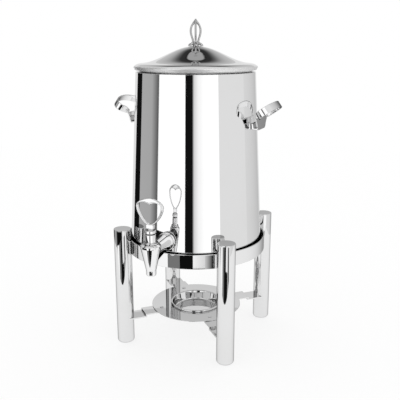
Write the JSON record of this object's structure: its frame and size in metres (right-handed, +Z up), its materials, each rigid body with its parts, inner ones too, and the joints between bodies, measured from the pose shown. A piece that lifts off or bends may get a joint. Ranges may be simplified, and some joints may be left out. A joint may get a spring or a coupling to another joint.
{
  "type": "coffee urn",
  "caption": "Tapered polished-steel coffee urn on a ring stand with pillar legs, a fuel cup, a domed lid with a finial, side loop handles and a heart-key tap.",
  "frame": {"origin": "centre of the object's bounding box, on the counter", "axes": "+Z up, -Y the way the tap looks, +X to the right of someone facing the tap"},
  "size_m": [0.362, 0.3777, 0.6795],
  "materials": {
    "polished_steel": "mirror polished",
    "body_steel": "mirror polished",
    "satin_steel": "satin",
    "foot_rubber": "matt",
    "seal_rubber": "matt"
  },
  "bodies": {
    "stand": {"leg_front_left": "polished_steel", "leg_front_right": "polished_steel", "leg_rear_left": "polished_steel", "leg_rear_right": "polished_steel", "leg_caps": "polished_steel", "leg_inserts": "satin_steel", "leg_feet": "foot_rubber", "stand_ring": "polished_steel", "ring_screws": "satin_steel", "brace_arm_front_left": "polished_steel", "brace_arm_front_right": "polished_steel", "brace_arm_rear_left": "polished_steel", "brace_arm_rear_right": "polished_steel", "fuel_disc": "polished_steel", "fuel_cup": "polished_steel", "disc_rivets": "satin_steel"},
    "urn": {"urn_wall": "body_steel", "urn_base": "satin_steel", "urn_neck_ring": "polished_steel", "handle_bracket_left": "polished_steel", "handle_bracket_right": "polished_steel", "handle_loop_left": "polished_steel", "handle_loop_right": "polished_steel", "tap_body": "polished_steel", "tap_flange": "polished_steel", "tap_outer_seal": "seal_rubber", "tap_inner_seal": "seal_rubber", "tap_lock_nut": "satin_steel", "tap_bonnet": "polished_steel", "bonnet_gasket": "seal_rubber"},
    "valve": {"tap_plug": "satin_steel", "plug_o_rings": "seal_rubber", "tap_key": "polished_steel", "key_pin": "satin_steel"},
    "lid": {"lid_shell": "polished_steel", "lid_skirt": "satin_steel", "finial": "polished_steel", "finial_washer": "seal_rubber", "finial_screw": "satin_steel"}
  },
  "joints": [
    {"name": "urn_lift", "type": "slide", "parent": "stand", "child": "urn", "axis": [0, 0, 1], "range_m": [0, 0.06]},
    {"name": "lid_lift", "type": "slide", "parent": "urn", "child": "lid", "axis": [0, 0, 1], "range_m": [0, 0.12]},
    {"name": "valve_turn", "type": "hinge", "parent": "urn", "child": "valve", "pos_m": [0, -0.16922, 0.254], "axis": [0, 0, 1], "range_deg": [0, 90]}
  ]
}
